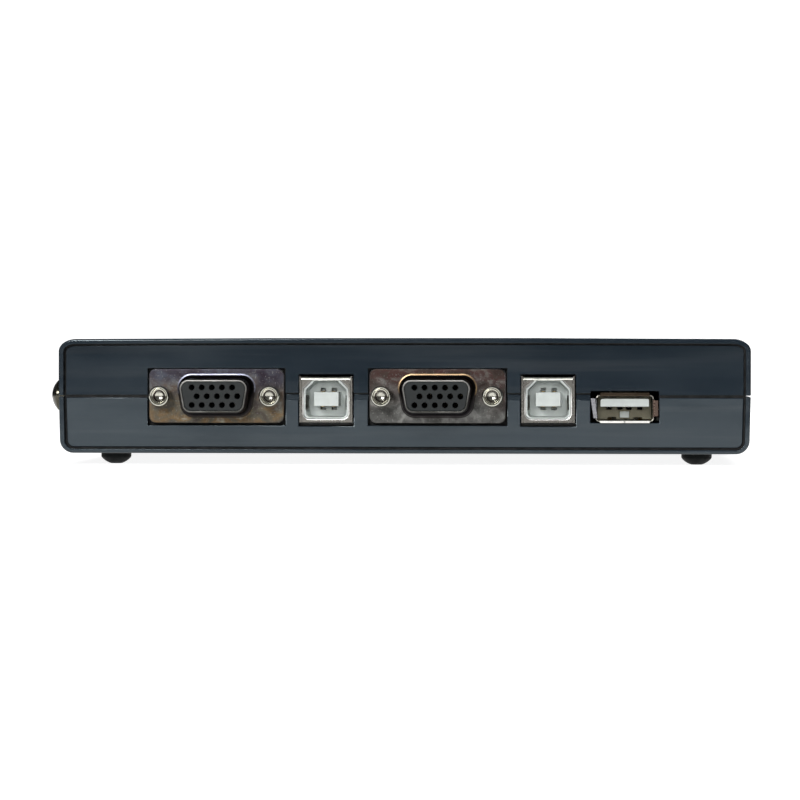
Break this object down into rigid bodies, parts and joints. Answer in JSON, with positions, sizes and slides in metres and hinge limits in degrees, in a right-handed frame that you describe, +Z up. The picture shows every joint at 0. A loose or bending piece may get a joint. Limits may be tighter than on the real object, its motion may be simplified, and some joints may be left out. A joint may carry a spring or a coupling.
{
  "type": "kvm switch",
  "caption": "Flat black desktop KVM switch with VGA and USB ports on two recessed end panels, split case, rubber feet and a sprung side button.",
  "frame": {"origin": "under the middle of the whole object's box, level with the tips of the rubber feet", "axes": "+X to the right for someone facing the two computers' ports, which look along -Y; +Z up"},
  "size_m": [0.1598, 0.1078, 0.0287],
  "materials": {
    "case_plastic": "semi-gloss black moulded ABS with a cool grey sheen, fine texture and faint flow and rub marks",
    "foot_rubber": "matt black rubber",
    "vga_flange_nickel": "nickel plating tarnished brown and violet in patches",
    "jack_nut_nickel": "bright nickel, turned",
    "vga_insulator_plastic": "matt dark grey glass-filled plastic",
    "usb_shell_metal": "tin-plated folded sheet, satin",
    "usb_insulator_plastic": "off-white moulded plastic",
    "button_plating": "dark plated, glossy",
    "plunger_plastic": "off-white moulded plastic",
    "spring_steel": "drawn steel wire",
    "switch_plastic": "dark blue moulded plastic",
    "board_laminate": "green solder resist with traces, pads and plated holes",
    "screw_steel": "zinc-plated steel",
    "chip_plastic": "matt black moulded package",
    "crystal_can": "drawn metal can",
    "capacitor_can": "aluminium can",
    "led_lens": "clear green epoxy lens, unlit"
  },
  "bodies": {
    "case": {"board_capacitor": "capacitor_can", "board_screw_console_left": "screw_steel", "board_screw_console_right": "screw_steel", "board_screw_pc_left": "screw_steel", "board_screw_pc_right": "screw_steel", "case_screw_console_left": "screw_steel", "case_screw_console_right": "screw_steel", "case_screw_pc_left": "screw_steel", "case_screw_pc_right": "screw_steel", "console_vga_insulator": "vga_insulator_plastic", "console_vga_nut_left": "jack_nut_nickel", "console_vga_nut_right": "jack_nut_nickel", "console_vga_shell": "vga_flange_nickel", "controller_chip": "chip_plastic", "crystal": "crystal_can", "foot_console_left": "foot_rubber", "foot_console_right": "foot_rubber", "foot_pc_left": "foot_rubber", "foot_pc_right": "foot_rubber", "keyboard_usb_shell": "usb_shell_metal", "keyboard_usb_tongue": "usb_insulator_plastic", "lower_shell": "case_plastic", "main_board": "board_laminate", "mouse_usb_shell": "usb_shell_metal", "mouse_usb_tongue": "usb_insulator_plastic", "pc1_led": "led_lens", "pc1_usb_insulator": "usb_insulator_plastic", "pc1_usb_shell": "usb_shell_metal", "pc1_vga_insulator": "vga_insulator_plastic", "pc1_vga_nut_left": "jack_nut_nickel", "pc1_vga_nut_right": "jack_nut_nickel", "pc1_vga_shell": "vga_flange_nickel", "pc2_led": "led_lens", "pc2_usb_insulator": "usb_insulator_plastic", "pc2_usb_shell": "usb_shell_metal", "pc2_vga_insulator": "vga_insulator_plastic", "pc2_vga_nut_left": "jack_nut_nickel", "pc2_vga_nut_right": "jack_nut_nickel", "pc2_vga_shell": "vga_flange_nickel", "port_capacitor": "capacitor_can", "shared_usb_shell": "usb_shell_metal", "shared_usb_tongue": "usb_insulator_plastic", "switch_housing": "switch_plastic", "switch_spring": "spring_steel", "upper_shell": "case_plastic", "usb_hub_chip": "chip_plastic", "video_switch_chip": "chip_plastic"},
    "select_button": {"select_button_cap": "button_plating", "switch_plunger": "plunger_plastic"}
  },
  "joints": [
    {"name": "select_button_press", "type": "slide", "parent": "case", "child": "select_button", "axis": [1, 0, 0], "range_m": [0, 0.0015], "stiffness_N_per_m": 900, "springref_m": -0.0006, "deforming": ["switch_spring"]}
  ]
}
